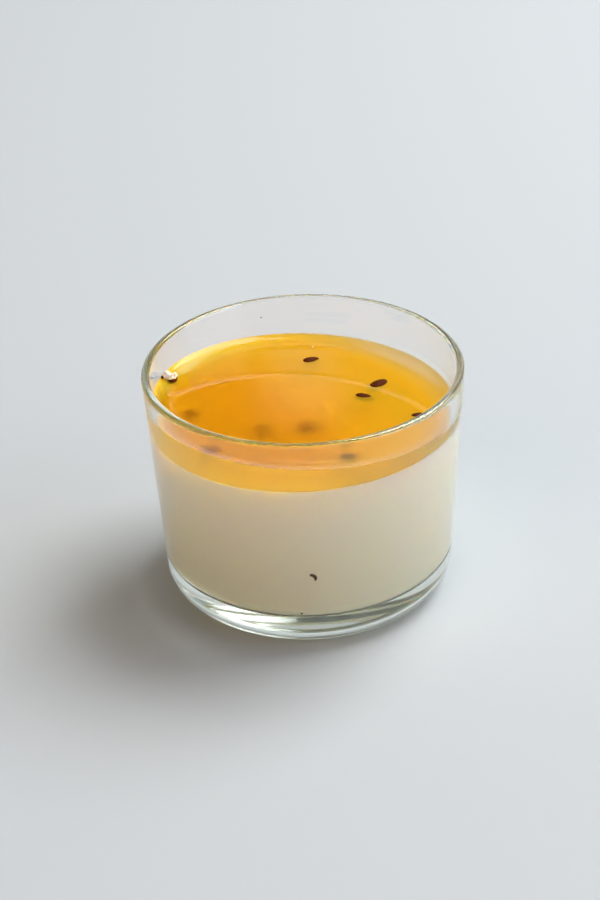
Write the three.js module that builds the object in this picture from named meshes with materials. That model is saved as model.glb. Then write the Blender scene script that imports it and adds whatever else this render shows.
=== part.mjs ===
// Passion fruit mousse set in a low clear glass, under a layer of passion fruit jelly.
// Millimetres, +Z up. The origin is the middle of the glass's flat underside.
import * as THREE from 'three';

// Glass: a thick-bottomed tumbler that widens a little from its round heel to its lip.
const GLASS_HEIGHT = 62.7;
const RIM_RADIUS = 41.5;
const BODY_RADIUS = 38.4; // outside of the wall, where the heel's curve ends
const HEEL_CURVE = 7.5; // radius of the rounding between the underside and the wall
const LIP_THICKNESS = 2.2; // the lip's top is a half round
const LIP_CURVE = LIP_THICKNESS / 2;
const LIP_LEVEL = GLASS_HEIGHT - LIP_CURVE; // where the wall ends and the half round starts
const WALL_AT_FLOOR = 2.8;
const FLOOR_LEVEL = 8.3; // top of the thick base, which the mousse sets on
const FLOOR_CURVE = 5; // rounding between the inner floor and the inner wall

// Contents. A level is a height at the axis, and a lean is a slope along +X and along +Y.
const MOUSSE_EDGE_LEVEL = 49.2; // where mousse and jelly meet at the wall
const MOUSSE_DISH = 2.6; // how far the mousse sags below its edge in the middle
const DISH_POWER = 4; // the dish rises as this power of the distance from the axis
const MOUSSE_LEAN = [0.022, 0.015];
const JELLY_LEVEL = 51.8;
const JELLY_LEAN = [-0.048, -0.042]; // the jelly set on a shelf that wasn't level
const MENISCUS_HEIGHT = 1.65; // how far the jelly climbs the glass
const MENISCUS_REACH = 1.8; // distance from the wall at which the climb falls to a third
const GAP = 0.3; // clearance between touching pieces

const SIDES = 72;
const HEEL_STEPS = 6;
const LIP_STEPS = 8;
const FLOOR_STEPS = 5;
const DISH_STOPS = [0.35, 0.6, 0.78, 0.9]; // fractions of the dish's radius
const MENISCUS_STOPS = [0.7, 1.7, 3.2, 6.5]; // distances in from the wall

const LEVEL = [0, 0];
const HALF_TURN = Math.PI;
const QUARTER_TURN = Math.PI / 2;

// A straight wall's inside, from the heel's top to the lip.
function innerRadius(z) {
  const low = BODY_RADIUS - WALL_AT_FLOOR;
  const high = RIM_RADIUS - LIP_THICKNESS;
  return low + ((high - low) * (z - HEEL_CURVE)) / (LIP_LEVEL - HEEL_CURVE);
}

// Points on a round corner of the profile, from one angle to another about its centre.
function arc(radius, z, curve, from, to, steps) {
  const points = [];
  for (let i = 0; i <= steps; i += 1) {
    const angle = from + ((to - from) * i) / steps;
    points.push(new THREE.Vector2(radius + curve * Math.cos(angle), z + curve * Math.sin(angle)));
  }
  return points;
}

// Inner floor's rounding, up to the wall. A margin moves it away from the glass.
function floorCorner(margin) {
  const curve = FLOOR_CURVE - margin;
  const z = FLOOR_LEVEL + FLOOR_CURVE;
  const radius = innerRadius(z) - FLOOR_CURVE;
  return arc(radius, z, curve, -QUARTER_TURN, 0, FLOOR_STEPS);
}

function glassProfile() {
  const heel = arc(BODY_RADIUS - HEEL_CURVE, HEEL_CURVE, HEEL_CURVE, -QUARTER_TURN, 0, HEEL_STEPS);
  const lip = arc(RIM_RADIUS - LIP_CURVE, LIP_LEVEL, LIP_CURVE, 0, HALF_TURN, LIP_STEPS);
  return [
    new THREE.Vector2(0, 0),
    ...heel,
    ...lip,
    ...floorCorner(0).reverse(),
    new THREE.Vector2(0, FLOOR_LEVEL),
  ];
}

// Height of the meeting line of mousse and jelly, at a share of the way to the wall.
function meetingLevel(share) {
  return MOUSSE_EDGE_LEVEL - MOUSSE_DISH * (1 - share ** DISH_POWER);
}

// The jelly's dished underside from the middle out. The mousse's face lies a drop below it.
function meetingLine(edgeRadius, drop) {
  const points = [];
  for (const stop of [0, ...DISH_STOPS, 1]) {
    points.push(new THREE.Vector2(edgeRadius * stop, meetingLevel(stop) - drop));
  }
  return points;
}

function mousseProfile() {
  const edgeRadius = innerRadius(MOUSSE_EDGE_LEVEL) - GAP;
  return [
    new THREE.Vector2(0, FLOOR_LEVEL + GAP),
    ...floorCorner(GAP),
    ...meetingLine(edgeRadius, GAP).reverse(),
  ];
}

// The jelly's face: level in the middle, climbing as an exponential curve at the wall.
function jellyProfile() {
  const edgeRadius = innerRadius(MOUSSE_EDGE_LEVEL) - GAP;
  const points = meetingLine(edgeRadius, 0);
  for (const stop of [0, ...MENISCUS_STOPS]) {
    const climb = MENISCUS_HEIGHT * Math.exp(-stop / MENISCUS_REACH);
    const z = JELLY_LEVEL + climb;
    points.push(new THREE.Vector2(innerRadius(z) - GAP - stop, z));
  }
  points.push(new THREE.Vector2(0, JELLY_LEVEL));
  return points;
}

// A profile turned about +Z.
function turned(profile) {
  const geometry = new THREE.LatheGeometry(profile, SIDES);
  geometry.rotateX(QUARTER_TURN);
  return geometry;
}

// Tips every point by a lean chosen from its radius and height, and keeps it on the glass wall.
function leaned(geometry, leanAt) {
  const position = geometry.getAttribute('position');
  for (let i = 0; i < position.count; i += 1) {
    const x = position.getX(i);
    const y = position.getY(i);
    const z = position.getZ(i);
    const lean = leanAt(Math.hypot(x, y), z);
    const raised = z + lean[0] * x + lean[1] * y;
    const spread = innerRadius(raised) / innerRadius(z);
    position.setXYZ(i, x * spread, y * spread, raised);
  }
  return geometry;
}

function piece(name, geometry, material) {
  const mesh = new THREE.Mesh(geometry, new THREE.MeshStandardMaterial(material));
  mesh.name = name;
  return mesh;
}

function makeGlass() {
  return piece('glass', turned(glassProfile()), {
    color: 0xdfe6e2,
    roughness: 0.03,
    metalness: 0,
    transparent: true,
    opacity: 0.35,
  });
}

// The mousse's top leans one way. Its floor stays level.
function makeMousse() {
  const middle = (FLOOR_LEVEL + MOUSSE_EDGE_LEVEL) / 2;
  const leanAt = (radius, z) => (z > middle ? MOUSSE_LEAN : LEVEL);
  const geometry = leaned(turned(mousseProfile()), leanAt);
  return piece('mousse', geometry, { color: 0xcabfa0, roughness: 0.55, metalness: 0 });
}

// The jelly's face leans the other way than the mousse below it.
function makeJelly() {
  const edgeRadius = innerRadius(MOUSSE_EDGE_LEVEL) - GAP;
  const leanAt = (radius, z) => {
    const underside = meetingLevel(radius / edgeRadius);
    return z > underside + GAP ? JELLY_LEAN : MOUSSE_LEAN;
  };
  const geometry = leaned(turned(jellyProfile()), leanAt);
  return piece('jelly', geometry, { color: 0xeda322, roughness: 0.08, metalness: 0 });
}

const dessert = new THREE.Group();
dessert.add(makeGlass(), makeMousse(), makeJelly());

export default dessert;
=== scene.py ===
"""Passion fruit mousse under a layer of passion fruit jelly, in a low clear tumbler.

Metres, +Z up. The tumbler stands on the origin, and -Y is the side that is seen first.
"""
import math

import bpy
import numpy as np
from mathutils import Matrix, Vector


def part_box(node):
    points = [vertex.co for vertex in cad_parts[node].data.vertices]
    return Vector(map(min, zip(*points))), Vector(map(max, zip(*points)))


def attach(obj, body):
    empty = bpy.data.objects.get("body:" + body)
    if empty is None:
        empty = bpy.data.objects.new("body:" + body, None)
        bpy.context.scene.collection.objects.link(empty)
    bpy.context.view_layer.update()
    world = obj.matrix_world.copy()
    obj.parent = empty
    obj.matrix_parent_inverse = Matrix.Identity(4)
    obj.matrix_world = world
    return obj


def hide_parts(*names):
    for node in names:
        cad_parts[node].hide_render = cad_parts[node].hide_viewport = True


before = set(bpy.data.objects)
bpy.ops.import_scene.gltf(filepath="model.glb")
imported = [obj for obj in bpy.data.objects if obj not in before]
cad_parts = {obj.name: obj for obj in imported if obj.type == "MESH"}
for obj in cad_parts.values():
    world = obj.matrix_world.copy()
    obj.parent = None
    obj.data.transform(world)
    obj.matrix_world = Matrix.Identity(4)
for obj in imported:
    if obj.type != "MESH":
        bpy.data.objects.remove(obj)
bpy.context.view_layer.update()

MM = 0.001

# Tumbler. Its height and its width at the lip are the frame's.
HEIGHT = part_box("glass")[1].z
RIM_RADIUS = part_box("glass")[1].x
BODY_RADIUS = 38.4 * MM  # outside of the wall, where the heel's curve ends
HEEL_CURVE = 7.5 * MM
LIP_THICKNESS = 2.2 * MM  # the lip's top is a half round
LIP_CURVE = LIP_THICKNESS / 2
LIP_LEVEL = HEIGHT - LIP_CURVE  # where the wall ends and the half round starts
WALL_AT_FLOOR = 2.8 * MM
FLOOR_LEVEL = 8.3 * MM
FLOOR_CURVE = 5 * MM

# Contents. A level is a height at the middle, and a lean is a slope along +X and along +Y.
MOUSSE_EDGE_LEVEL = 49.2 * MM
MOUSSE_DISH = 2.6 * MM  # how far the mousse sags below its edge in the middle
DISH_POWER = 4  # the dish rises as this power of the distance from the axis
MOUSSE_LEAN = (0.022, 0.015)
JELLY_LEVEL = 51.8 * MM
JELLY_LEAN = (-0.048, -0.042)
MENISCUS_HEIGHT = 1.65 * MM
MENISCUS_REACH = 1.8 * MM  # distance from the wall at which the climb falls to a third
DEEPEST = 7 * MM  # thicker jelly than this looks no deeper
SHALLOWEST = 0.02  # share of DEEPEST that any spot of the face looks deep at least
EDGE_REACH = 0.8 * MM  # distance from the wall at which the film's share falls to a third
EDGE_FILM = 0.9  # share of the depth that is lost right at the wall
SINK = 0.06 * MM  # how far the contents reach into the glass, so that no air shows between
FILM = 0.04 * MM  # the jelly lies this far above the mousse, so that each keeps its own skin
LEAN_CHANGE = 1 * MM  # height over which the jelly's lean turns from the mousse's to its own

# Seeds, in millimetres and degrees: x, y, depth of the middle below the face, length, turn, tip.
SEEDS = (
    (2.4, 25.1, 0.35, 5.0, 29, 4), (19.8, 10.5, 0.3, 5.8, 39, -5), (15.9, 3.4, 0.6, 5.2, -15, 5),
    (29.2, -7.3, 0.5, 4.6, 20, 0), (-29.1, -3.6, 2.7, 3.8, -10, 6), (-10.4, -10.2, 4.1, 4.2, 10, 0),
    (1.0, -7.4, 4.2, 4.4, 25, -6), (-23.3, -23.1, 2.5, 4.6, 35, 0), (10.7, -26.5, 2.0, 5.2, 12, 6),
    (-34.5, 12.2, 0.3, 4.8, 78, 0),
)
SEED_WIDTH = 0.58  # this and the thickness are shares of the length
SEED_THICKNESS = 0.36
SEED_TAPER = 0.18  # how much slimmer it is towards one end
SEED_PIT = 0.12  # depth of a pit, as a share of the half width

# Froth at the wall, in millimetres.
FROTH_COUNT = 60
FROTH_DRAW = 7  # starts the random draw
FROTH_PLACE = (-35.3, 11.3, 54.8)
FROTH_SPREAD = (2.0, 1.7, 1.1)
FROTH_WIDTH = 1.5  # of the middle bubble
FROTH_NARROWING = 0.7  # how much narrower an outermost bubble is
FROTH_VARIATION = (0.7, 1.1)  # least and most share of that width
GLINT_BUBBLE = (2.9, 33.0, 0.5)  # one bubble that floats alone: x, y, width. Its white bead also paints the glint on the jelly there

# Flecks, in millimetres and degrees. Specks are x, y, z and width.
HOOK_PLACE = (0.1, 21.9)  # around the front from its middle, and up
HOOK_CURVE = 1.2
HOOK_START = -10
HOOK_SWEEP = 135
HOOK_HALF_WIDTH = 0.5
HOOK_HALF_THICKNESS = 0.15
HOOK_SINK = 0.02  # its middle lies this far into the glass
SPECKS = ((-2.4, -36.1, 11.0, 0.5), (-10.9, 37.6, 57.6, 0.35), (-36.9, 10.2, 54.9, 0.9))

# Points along each stretch of a profile, and around it.
SIDES = 320
HEEL_STEPS = 28
LIP_STEPS = 32
CORNER_STEPS = 16
WALL_STEPS = 40
BASE_STEPS = 12
MOUSSE_FLOOR_STEPS = 8
MOUSSE_WALL_STEPS = 30
MOUSSE_FACE_STEPS = 60
JELLY_UNDER_STEPS = 40
JELLY_WALL_STEPS = 8
JELLY_FACE_STEPS = 120
FIRST_FACE_STEP = 0.1 * MM  # the jelly's face has its rings crowded towards the wall
POLE_RING = 1.5 * MM  # no ring of the jelly's face is smaller
EGG_ROWS = 25
EGG_END_ROW = 84  # degrees from the middle to the last row before an end point
EGG_STEP = 10  # this and the hook's are degrees around
HOOK_ROWS = 24
HOOK_STEP = 24
SHARP = math.radians(40)  # edges that turn more than this stay crisp

# Studio. A patch of its walls is azimuth, half width, elevation, half height and blur of the
# edge, in degrees, then radiance. Azimuth runs from +Y towards +X.
ROOM = 0.06
BACK_WALL = (0, 50, 44, 14, 16, 0.5)
SKIRTING = (0, 110, 7, 7, 6, 0.65)
DOORWAY = (3, 12, 24.5, 2.5, 4, 1)  # the share of radiance that it takes away comes last
PANE = (2.6, 0.1, 23.5, 0.1, 2.2, 0.5)
FRONT = (180, 60, 15, 15, 25, 0.62)
BACK_TINT = "FCFEFF"
FRONT_TINT = "FFE9D2"

# A lamp is azimuth, elevation, side, radiance and tint, and all face the glass.
LAMPS = {
    "window": (57, 53, 1.35, 9.3, "FFFFFF"),
    "side": (107, 22, 1.8, 2.5, "E2ECFF"),
    "fill": (225, 22, 1.8, 0.8, "FFB870"),
}
LAMP_AIM = Vector((0, 0, 0.03))
LAMP_DISTANCE = 2.0

FLOOR_HALF = 6.0  # half of its side
FLOOR_DROP = 0.05 * MM  # keeps the floor's face clear of the tumbler's underside
CAMERA_PLACE = Vector((0, -0.45297, 0.30437))
CAMERA_AIM = Vector((-0.00148, 0, 0.03718))
CAMERA_ROLL = -0.038  # radians
CAMERA_LENS = 80  # millimetres
CAMERA_NEAREST = 0.02
CLEAR_BOUNCES = 32  # light crosses many faces of glass and jelly
SOFT_BOUNCES = 16


# ---------------------------------------------------------------- shapes

def arc(radius, height, curve, start, end, steps):
    """Round corner of a profile: equal angles on a circle about (radius, height)."""
    angle = np.radians(np.linspace(start, end, steps))
    return np.column_stack([radius + curve * np.cos(angle), height + curve * np.sin(angle)])


def run(start, end, steps):
    """Straight stretch of a profile: equal steps between two points, both left out."""
    share = np.linspace(0, 1, steps + 2)[1:-1, None]
    return np.array(start) * (1 - share) + np.array(end) * share


def mesh_piece(name, points, faces, material, slot):
    """A smooth mesh from an array of points and a list of faces, riding on the part."""
    mesh = bpy.data.meshes.new(name)
    mesh.from_pydata(points.tolist(), [], faces)
    mesh.polygons.foreach_set("use_smooth", np.ones(len(mesh.polygons), bool))
    mesh.set_sharp_from_angle(angle=SHARP)
    mesh.materials.append(material)
    piece = bpy.data.objects.new(name, mesh)
    bpy.context.scene.collection.objects.link(piece)
    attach(piece, "root")
    return piece


def mark(piece, name, formula):
    """Stores formula(points) on the piece, for its material to read."""
    points = np.empty(len(piece.data.vertices) * 3)
    piece.data.vertices.foreach_get("co", points)
    values = formula(points.reshape(-1, 3))
    piece.data.attributes.new(name, "FLOAT", "POINT").data.foreach_set("value", values)


def skin(rings, first, last):
    """Joins each ring of points to the next, and fans the end rings to two end points."""
    count, sides = rings.shape[:2]
    points = np.vstack([rings.reshape(-1, 3), first, last])
    index = np.arange(count * sides).reshape(count, sides)
    beside = np.roll(index, -1, axis=1)
    quads = np.stack([index[:-1], beside[:-1], beside[1:], index[1:]], axis=-1).reshape(-1, 4)
    low, high = count * sides, count * sides + 1
    low_fan = np.column_stack([np.full(sides, low), beside[0], index[0]])
    high_fan = np.column_stack([index[-1], beside[-1], np.full(sides, high)])
    return points, quads.tolist() + low_fan.tolist() + high_fan.tolist()


def together(parts):
    """Several (points, faces) as one: each part's corners count on from the last part's."""
    start = np.cumsum([0] + [len(points) for points, _ in parts])
    faces = [[corner + int(first) for corner in face]
             for first, (_, part) in zip(start, parts) for face in part]
    return np.vstack([points for points, _ in parts]), faces


def turned(profile, lift=None):
    """A profile from the axis to the axis, carried round +Z.

    x = r cos a and y = r sin a, and z is the profile's height plus lift(x, y, z). A lifted
    point also moves out as the tumbler's wall does. The two ends are single points. Returns
    points and faces.
    """
    angle = np.arange(SIDES) * 2 * math.pi / SIDES
    radius, height = profile[1:-1, :1], profile[1:-1, 1:]
    x = radius * np.cos(angle)
    rings = np.stack([x, radius * np.sin(angle), height + 0 * x], axis=-1)
    points, faces = skin(rings, [0, 0, profile[0, 1]], [0, 0, profile[-1, 1]])
    if lift is not None:
        raised = points[:, 2] + lift(*points.T)
        points[:, :2] *= (inner_radius(raised) / inner_radius(points[:, 2]))[:, None]
        points[:, 2] = raised
    return points, faces


def egg(size, place, taper=0, pit=0, turn=0, tip=0):
    """An egg along X, turned about Z and tipped about Y by degrees, and moved to its place.

    With v from end to end and u around, x = length/2 sin v, and y and z are half the width and
    half the thickness times cos v ** 0.85 times (1 - taper sin v), by cos u and sin u. Rows of
    pits go in by a share, pit, of that, as the fourth power of (1 + cos 6u cos 9v) / 2.
    """
    v = np.radians(np.linspace(-EGG_END_ROW, EGG_END_ROW, EGG_ROWS))[:, None]
    u = np.radians(np.arange(0, 360, EGG_STEP))[None, :]
    hollow = 1 - pit * ((1 + np.cos(6 * u) * np.cos(9 * v)) / 2) ** 4
    girth = np.cos(v) ** 0.85 * (1 - taper * np.sin(v)) * hollow
    half = np.array(size) / 2
    rings = np.stack([half[0] * np.sin(v) + 0 * u, half[1] * girth * np.cos(u),
                      half[2] * girth * np.sin(u)], axis=-1)
    points, faces = skin(rings, [-half[0], 0, 0], [half[0], 0, 0])
    way = Matrix.Rotation(math.radians(turn), 3, "Z") @ Matrix.Rotation(math.radians(tip), 3, "Y")
    return points @ np.array(way).T + np.array(place), faces


def inner_radius(z):
    """Inside of the straight wall: a blend by height from the heel's top to the lip."""
    low, high = BODY_RADIUS - WALL_AT_FLOOR, RIM_RADIUS - LIP_THICKNESS
    return low + (high - low) * (z - HEEL_CURVE) / (LIP_LEVEL - HEEL_CURVE)


def floor_corner(margin):
    """The inner floor's quarter-round up to the wall. A margin moves it into the contents."""
    level = FLOOR_LEVEL + FLOOR_CURVE
    radius = inner_radius(level) - FLOOR_CURVE
    return arc(radius, level, FLOOR_CURVE - margin, -90, 0, CORNER_STEPS)


def mousse_height(radius):
    """The mousse's face: flat in the middle, rising as a power of the radius to its edge."""
    share = radius / inner_radius(MOUSSE_EDGE_LEVEL)
    return MOUSSE_EDGE_LEVEL - MOUSSE_DISH * (1 - share ** DISH_POWER)


def glass_profile():
    """Underside, quarter-round heel, straight wall, half-round lip, inner wall and inner floor."""
    heel = arc(BODY_RADIUS - HEEL_CURVE, HEEL_CURVE, HEEL_CURVE, -90, 0, HEEL_STEPS)
    lip = arc(RIM_RADIUS - LIP_CURVE, LIP_LEVEL, LIP_CURVE, 0, 180, LIP_STEPS)
    corner = floor_corner(0)[::-1]
    return np.vstack([
        [0, 0], run((0, 0), heel[0], BASE_STEPS), heel, run(heel[-1], lip[0], WALL_STEPS), lip,
        run(lip[-1], corner[0], WALL_STEPS), corner,
        run(corner[-1], (0, FLOOR_LEVEL), BASE_STEPS), [0, FLOOR_LEVEL],
    ])


def mousse_profile():
    """Floor, corner and side sunk in the glass, and the dished face of mousse_height."""
    corner = floor_corner(-SINK)
    foot = (0, FLOOR_LEVEL - SINK)
    edge = inner_radius(MOUSSE_EDGE_LEVEL) + SINK
    radius = np.linspace(edge, 0, MOUSSE_FACE_STEPS)
    face = np.column_stack([radius, mousse_height(radius)])
    return np.vstack([
        foot, run(foot, corner[0], MOUSSE_FLOOR_STEPS), corner,
        run(corner[-1], face[0], MOUSSE_WALL_STEPS), face,
    ])


def jelly_profile():
    """Underside just over the mousse, side sunk in the glass, and a face up to the meniscus.

    The face is level in the middle and climbs as an exponential of the distance from the wall.
    Each of its rings lies a fixed share further in than the last.
    """
    wall = inner_radius(JELLY_LEVEL + MENISCUS_HEIGHT)
    under_radius = np.linspace(0, inner_radius(MOUSSE_EDGE_LEVEL) + SINK, JELLY_UNDER_STEPS)
    under = np.column_stack([under_radius, mousse_height(under_radius) + FILM])
    inward = np.concatenate([[0], np.geomspace(FIRST_FACE_STEP, 1, JELLY_FACE_STEPS)])
    radius = wall + SINK - inward
    radius = np.append(radius[radius > POLE_RING], 0)
    climb = MENISCUS_HEIGHT * np.exp(-np.maximum(wall - radius, 0) / MENISCUS_REACH)
    face = np.column_stack([radius, JELLY_LEVEL + climb])
    return np.vstack([under, run(under[-1], face[0], JELLY_WALL_STEPS), face])


def depth(points):
    """The jelly's thickness below each point of its face, as a share of DEEPEST.

    It is the height over mousse_height and the mousse's lean, less an exponential share near
    the wall, where the jelly is only a film. It is 0 on the side that touches the wall.
    """
    x, y, z = points.T
    radius = np.hypot(x, y)
    below = z - mousse_height(radius) - MOUSSE_LEAN[0] * x - MOUSSE_LEAN[1] * y
    film = EDGE_FILM * np.exp(-np.maximum(inner_radius(z) - radius, 0) / EDGE_REACH)
    share = np.clip(below * (1 - film) / DEEPEST, SHALLOWEST, 1)
    return np.where(radius > inner_radius(z), 0, share)


def mousse_lift(x, y, z):
    """Lean of the mousse's face, fading to nothing at half height."""
    middle = (FLOOR_LEVEL + MOUSSE_EDGE_LEVEL) / 2
    share = np.clip((z - middle) / (mousse_height(0) - middle), 0, 1)
    return share * (MOUSSE_LEAN[0] * x + MOUSSE_LEAN[1] * y)


def jelly_lift(x, y, z):
    """Lean of the jelly: the mousse's on its underside, its own on its face."""
    radius = np.hypot(x, y)
    above = np.clip((z - mousse_height(radius) - 2 * FILM) / LEAN_CHANGE, 0, 1)
    slope = [low + (high - low) * above for low, high in zip(MOUSSE_LEAN, JELLY_LEAN)]
    return slope[0] * x + slope[1] * y


def face_height(x, y):
    """Height of the jelly's face: its level, its lean and its climb at the wall."""
    near = inner_radius(JELLY_LEVEL) - np.hypot(x, y)
    climb = MENISCUS_HEIGHT * np.exp(-near / MENISCUS_REACH)
    return JELLY_LEVEL + JELLY_LEAN[0] * x + JELLY_LEAN[1] * y + climb


def seeds():
    """Pitted eggs, each set into the jelly with its middle at its depth below the face."""
    parts = []
    for x, y, sink, length, turn, tip in SEEDS:
        x, y = x * MM, y * MM
        size = (length * MM, SEED_WIDTH * length * MM, SEED_THICKNESS * length * MM)
        place = (x, y, face_height(x, y) - sink * MM)
        parts.append(egg(size, place, SEED_TAPER, SEED_PIT, turn, tip))
    return together(parts)


def froth():
    """Bubbles scattered evenly in an ellipsoid, the outer ones smaller, none in the glass."""
    pick = np.random.default_rng(FROTH_DRAW)
    way = pick.normal(size=(FROTH_COUNT, 3))
    way /= np.linalg.norm(way, axis=1)[:, None]
    out = pick.uniform(0, 1, (FROTH_COUNT, 1)) ** (1 / 3)
    places = np.array(FROTH_PLACE) + way * out * np.array(FROTH_SPREAD)
    widths = FROTH_WIDTH - FROTH_NARROWING * out[:, 0]
    widths = widths * pick.uniform(*FROTH_VARIATION, FROTH_COUNT)
    room = inner_radius(places[:, 2] * MM) / MM - widths / 2
    places[:, :2] *= np.minimum(1, room / np.hypot(*places[:, :2].T))[:, None]
    # A lone bubble half sunk in the jelly's face. Its near-white colour also paints the glint
    # there.
    x, y, width = np.array(GLINT_BUBBLE) * MM
    parts = [egg((width, width, width), (x, y, face_height(x, y)))]
    parts += [egg((width * MM,) * 3, place * MM) for width, place in zip(widths, places)]
    return together(parts)


def hook():
    """A hooked sliver on the inner wall: a flat ellipse carried round an arc, thinner to its end.

    At share s of its sweep, the middle is off by HOOK_CURVE times the angle's sine to the side
    and its cosine up, and the ellipse's half width is HOOK_HALF_WIDTH times the sine of
    pi(0.15 + 0.83 s) to the power 0.7.
    """
    share = np.linspace(0.0, 1.0, HOOK_ROWS)
    angle = np.radians(HOOK_START + HOOK_SWEEP * share)
    z = (HOOK_PLACE[1] + HOOK_CURVE * np.cos(angle)) * MM
    radius = inner_radius(z) + HOOK_SINK * MM
    around = (HOOK_PLACE[0] + HOOK_CURVE * np.sin(angle)) * MM / radius - math.pi / 2
    outward = np.column_stack([np.cos(around), np.sin(around), 0 * around])
    middle = outward * radius[:, None] + np.column_stack([0 * z, 0 * z, z])
    along = np.gradient(middle, axis=0)
    across = np.cross(outward, along / np.linalg.norm(along, axis=1)[:, None])
    half = HOOK_HALF_WIDTH * MM * np.sin(math.pi * (0.15 + 0.83 * share)) ** 0.7
    turn = np.radians(np.arange(0, 360, HOOK_STEP))[None, :, None]
    rings = (middle[:, None] + across[:, None] * half[:, None, None] * np.cos(turn)
             + outward[:, None] * HOOK_HALF_THICKNESS * MM * np.sin(turn))
    return skin(rings, middle[0], middle[-1])


def flecks():
    """The hook, and small round specks at their places."""
    specks = [egg((width * MM,) * 3, (x * MM, y * MM, z * MM)) for x, y, z, width in SPECKS]
    return together([hook()] + specks)


# ---------------------------------------------------------------- materials

def colour(code):
    """Linear RGBA of an sRGB hex value."""
    part = [int(code[i:i + 2], 16) / 255 for i in (0, 2, 4)]
    return [c / 12.92 if c <= 0.04045 else ((c + 0.055) / 1.055) ** 2.4 for c in part] + [1]


def add(tree, kind, inputs=(), stops=(), **settings):
    """Adds a node and returns it. An input is a value or another node's output.

    Stops are a colour ramp's (place, sRGB hex or grey value), in order.
    """
    made = tree.nodes.new(kind)
    for name, value in settings.items():
        setattr(made, name, value)
    for name, value in dict(inputs).items():
        if isinstance(value, bpy.types.NodeSocket):
            tree.links.new(value, made.inputs[name])
        else:
            made.inputs[name].default_value = value
    while stops and len(made.color_ramp.elements) < len(stops):
        made.color_ramp.elements.new(0.5)
    for number, (place, value) in enumerate(stops):
        made.color_ramp.elements[number].position = place
        shade = colour(value) if isinstance(value, str) else [value] * 3 + [1]
        made.color_ramp.elements[number].color = shade
    return made


def new_material(name):
    """An empty node material with its output node."""
    material = bpy.data.materials.new(name)
    material.use_nodes = True
    material.node_tree.nodes.clear()
    return material, material.node_tree, material.node_tree.nodes.new("ShaderNodeOutputMaterial")


def soda_lime_glass():
    """Pressed soda-lime glass, fire-polished: clear with sharp reflections, faintly grey-green."""
    material, tree, out = new_material("clear_soda_lime_glass")
    shader = add(tree, "ShaderNodeBsdfPrincipled", {
        "Base Color": colour("FFFFFF"), "Roughness": 0.0, "IOR": 1.52,
        "Transmission Weight": 1.0,
    })
    body = add(tree, "ShaderNodeVolumeAbsorption", {
        "Color": colour("D8E6DC"), "Density": 8.0,
    })
    tree.links.new(shader.outputs[0], out.inputs["Surface"])
    tree.links.new(body.outputs[0], out.inputs["Volume"])
    return material


def set_mousse():
    """Cream and fruit set with gelatine: matte ivory, and light goes some way into it.

    Its colour is painted paler towards the top and darker towards the bottom, a painted glow of the
    light that comes down into it through the jelly. Where it touches the tumbler, light that meets
    it at a slant stays in the glass, so its side below the face mirrors by Fresnel's share.
    """
    material, tree, out = new_material("set_cream_mousse")
    place = add(tree, "ShaderNodeTexCoord")
    height = add(tree, "ShaderNodeSeparateXYZ", {"Vector": place.outputs["Object"]})
    # Painted glow: a share by height, 0 low in the mousse and 1 near its top.
    glow_height_share = add(tree, "ShaderNodeMapRange", {
        "Value": height.outputs["Z"], "From Min": 10 * MM, "From Max": 50 * MM})
    # Painted glow and shade: darker cream low down and paler cream near the top, where light comes
    # down through the jelly.
    painted_glow_cream = add(tree, "ShaderNodeValToRGB", {"Fac": glow_height_share.outputs[0]}, [
        (0, "E0DCC5"), (0.6, "ECE7D5"), (1, "F4EFE0")])
    cream = add(tree, "ShaderNodeBsdfPrincipled", {
        "Base Color": painted_glow_cream.outputs[0], "Roughness": 0.6, "IOR": 1.36,
        "Subsurface Weight": 1.0, "Subsurface Radius": (1.0, 0.75, 0.45),
        "Subsurface Scale": 6 * MM,
    })
    facing = add(tree, "ShaderNodeSeparateXYZ", {"Vector": place.outputs["Normal"]})
    # 1 on the side and the underside, and 0 on the face, which looks up.
    side = add(tree, "ShaderNodeMath", {0: facing.outputs["Z"], 1: 0.3}, operation="LESS_THAN")
    slant = add(tree, "ShaderNodeFresnel", {"IOR": 1.36 / 1.52})
    share = add(tree, "ShaderNodeMath", {0: side.outputs[0], 1: slant.outputs[0]},
                operation="MULTIPLY")
    mirror = add(tree, "ShaderNodeBsdfGlossy", {"Color": colour("FFFFFF"), "Roughness": 0.06})
    both = add(tree, "ShaderNodeMixShader", {
        0: share.outputs[0], 1: cream.outputs[0], 2: mirror.outputs[0]})
    tree.links.new(both.outputs[0], out.inputs["Surface"])
    return material


def fruit_jelly():
    """Passion fruit juice set with gelatine: golden, cloudy inside, under a smooth wet gloss.

    Thin jelly over the pale mousse looks like an opaque gold film, so it lets little light
    through up to a fifth of DEEPEST, and all of it where it is nearly that deep. Its body
    colour then turns it orange. Its side, at depth 0, is clear against the glass.
    """
    material, tree, out = new_material("set_fruit_jelly")
    deep = add(tree, "ShaderNodeAttribute", attribute_name="depth").outputs["Fac"]
    gold = add(tree, "ShaderNodeValToRGB", {"Fac": deep}, [
        (0, "FFF8B4"), (0.01, "E0D8B4"), (0.04, "E4C888"), (0.1, "E6B844"), (0.25, "F4B81E"),
        (0.72, "FCD828"), (1, "F0CE10")])
    clear = add(tree, "ShaderNodeValToRGB", {"Fac": deep}, [
        (0, 1.0), (0.01, 0.3), (0.2, 0.3), (0.5, 0.65), (0.85, 1.0)])
    shader = add(tree, "ShaderNodeBsdfPrincipled", {
        "Base Color": gold.outputs[0], "Transmission Weight": clear.outputs[0],
        "Roughness": 1.0, "IOR": 1.36, "Specular IOR Level": 0.0,
        "Specular Tint": colour("C87800"),
        "Coat Weight": 1.0, "Coat Roughness": 0.02, "Coat IOR": 1.33,
    })
    body = add(tree, "ShaderNodeVolumeAbsorption", {
        "Color": (0.994, 0.966, 0.0, 1), "Density": 450.0,
    })
    tree.links.new(shader.outputs[0], out.inputs["Surface"])
    tree.links.new(body.outputs[0], out.inputs["Volume"])
    return material


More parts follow.
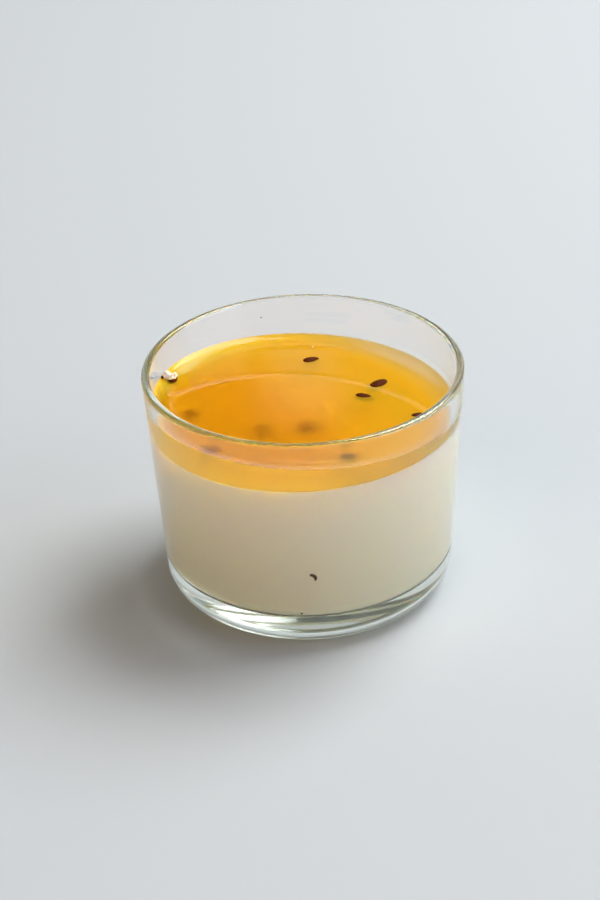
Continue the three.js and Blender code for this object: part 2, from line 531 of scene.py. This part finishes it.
def seed_shell():
    """The hard shell of a passion fruit seed: near-black brown with a low gloss."""
    material, tree, out = new_material("brown_seed_shell")
    shader = add(tree, "ShaderNodeBsdfPrincipled", {
        "Base Color": colour("4E2206"), "Roughness": 0.5, "IOR": 1.4,
        "Specular IOR Level": 0.04,
    })
    tree.links.new(shader.outputs[0], out.inputs["Surface"])
    return material


def juice_froth():
    """Small bubbles of whipped juice: near-white, and light goes a little way into them."""
    material, tree, out = new_material("white_juice_froth")
    shader = add(tree, "ShaderNodeBsdfPrincipled", {
        "Base Color": colour("F6E4D4"), "Roughness": 0.3, "IOR": 1.34,
        "Subsurface Weight": 1.0, "Subsurface Radius": (1.0, 0.8, 0.6),
        "Subsurface Scale": 0.5 * MM,
    })
    tree.links.new(shader.outputs[0], out.inputs["Surface"])
    return material


def pale_floor():
    """Matte board, a pale grey that lets the shadow show."""
    material, tree, out = new_material("pale_floor")
    shader = add(tree, "ShaderNodeBsdfPrincipled", {
        "Base Color": colour("B3B9BC"), "Roughness": 0.8,
    })
    tree.links.new(shader.outputs[0], out.inputs["Surface"])
    return material


# ---------------------------------------------------------------- pieces

glass = mesh_piece("tumbler", *turned(glass_profile()), soda_lime_glass(), "soda_lime_glass")
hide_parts("glass")
mousse = mesh_piece("mousse_filling", *turned(mousse_profile(), mousse_lift), set_mousse(),
                    "set_mousse")
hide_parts("mousse")
jelly = mesh_piece("jelly_layer", *turned(jelly_profile(), jelly_lift), fruit_jelly(),
                   "fruit_jelly")
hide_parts("jelly")
mark(jelly, "depth", depth)
shell = seed_shell()
mesh_piece("seeds", *seeds(), shell, "fruit_seed")
mesh_piece("flecks", *flecks(), shell, "fruit_seed")
mesh_piece("froth", *froth(), juice_froth(), "juice_froth")


# ---------------------------------------------------------------- studio

def make_floor():
    """A square floor just below the tumbler."""
    mesh = bpy.data.meshes.new("floor")
    half, below = FLOOR_HALF, -FLOOR_DROP
    mesh.from_pydata(
        [(-half, -half, below), (half, -half, below), (half, half, below), (-half, half, below)],
        [], [(0, 1, 2, 3)])
    mesh.materials.append(pale_floor())
    floor = bpy.data.objects.new("floor", mesh)
    bpy.context.scene.collection.objects.link(floor)


def make_camera():
    """Looks down at the front from its place to its aim, rolled a little."""
    camera = bpy.data.cameras.new("camera")
    camera.lens = CAMERA_LENS
    camera.clip_start = CAMERA_NEAREST
    turn = (CAMERA_AIM - CAMERA_PLACE).to_track_quat("-Z", "Y").to_matrix().to_4x4()
    holder = bpy.data.objects.new("camera", camera)
    roll = Matrix.Rotation(CAMERA_ROLL, 4, "Z")
    holder.matrix_world = Matrix.Translation(CAMERA_PLACE) @ turn @ roll
    bpy.context.scene.collection.objects.link(holder)
    bpy.context.scene.camera = holder


def make_world():
    """A soft studio by direction: a pale room behind with a dark doorway, and a warm one before.

    Each patch is 1 within half its width and half its height of its centre, falls off by
    smooth steps over its blur, and is scaled by its radiance.
    """
    world = bpy.data.worlds.new("studio")
    world.use_nodes = True
    bpy.context.scene.world = world
    tree = world.node_tree
    place = add(tree, "ShaderNodeTexCoord")
    way = add(tree, "ShaderNodeSeparateXYZ", {"Vector": place.outputs["Generated"]}).outputs
    elevation = add(tree, "ShaderNodeMath", {0: way["Z"]}, operation="ARCSINE")
    azimuth = add(tree, "ShaderNodeMath", {0: way["X"], 1: way["Y"]}, operation="ARCTAN2")
    aside = add(tree, "ShaderNodeMath", {0: azimuth.outputs[0]}, operation="ABSOLUTE")

    def patch(turn, centre, half_width, height, half_height, blur, level):
        """The level times a share by turn, times a share by elevation."""
        for angle, middle, half in (turn, centre, half_width), (elevation, height, half_height):
            off = add(tree, "ShaderNodeMath", {0: angle.outputs[0], 1: math.radians(middle)},
                      operation="SUBTRACT")
            off = add(tree, "ShaderNodeMath", {0: off.outputs[0]}, operation="ABSOLUTE")
            inside = add(tree, "ShaderNodeMapRange", {
                "Value": off.outputs[0], "From Min": math.radians(half),
                "From Max": math.radians(half + blur), "To Min": 1.0, "To Max": 0.0,
            }, interpolation_type="SMOOTHERSTEP")
            level = add(tree, "ShaderNodeMath", {0: inside.outputs[0], 1: level},
                        operation="MULTIPLY").outputs[0]
        return level

    pale = ROOM
    for wall in (BACK_WALL, SKIRTING):
        pale = add(tree, "ShaderNodeMath", {0: patch(azimuth, *wall), 1: pale},
                   operation="ADD").outputs[0]
    lit = add(tree, "ShaderNodeMath", {0: 1, 1: patch(azimuth, *DOORWAY)}, operation="SUBTRACT")
    pale = add(tree, "ShaderNodeMath", {0: pale, 1: lit.outputs[0]}, operation="MULTIPLY")
    pale = add(tree, "ShaderNodeMath", {0: pale.outputs[0], 1: patch(azimuth, *PANE)},
               operation="ADD").outputs[0]
    warm = patch(aside, *FRONT)
    walls = [add(tree, "ShaderNodeBackground", {"Strength": level, "Color": colour(tint)})
             for level, tint in ((pale, BACK_TINT), (warm, FRONT_TINT))]
    both = add(tree, "ShaderNodeAddShader", {0: walls[0].outputs[0], 1: walls[1].outputs[0]})
    tree.links.new(both.outputs[0], tree.nodes["World Output"].inputs["Surface"])


def soft_light(name, azimuth, elevation, side, radiance, tint):
    """A square lamp that faces the glass. Azimuth runs from +Y towards +X."""
    turn, lift = math.radians(azimuth), math.radians(elevation)
    way = Vector((math.sin(turn) * math.cos(lift), math.cos(turn) * math.cos(lift),
                  math.sin(lift)))
    light = bpy.data.lights.new(name, "AREA")
    light.size = side
    light.energy = radiance * math.pi * side * side
    light.color = colour(tint)[:3]
    holder = bpy.data.objects.new(name, light)
    holder.location = way * LAMP_DISTANCE + LAMP_AIM
    holder.rotation_mode = "QUATERNION"
    holder.rotation_quaternion = (-way).to_track_quat("-Z", "Y")
    bpy.context.scene.collection.objects.link(holder)


make_floor()
make_camera()
make_world()
for lamp, values in LAMPS.items():
    soft_light(lamp, *values)

scene = bpy.context.scene
scene.view_settings.view_transform = "Standard"
scene.cycles.max_bounces = CLEAR_BOUNCES
scene.cycles.transmission_bounces = CLEAR_BOUNCES
scene.cycles.glossy_bounces = SOFT_BOUNCES
scene.cycles.diffuse_bounces = SOFT_BOUNCES
scene.cycles.blur_glossy = 0.0
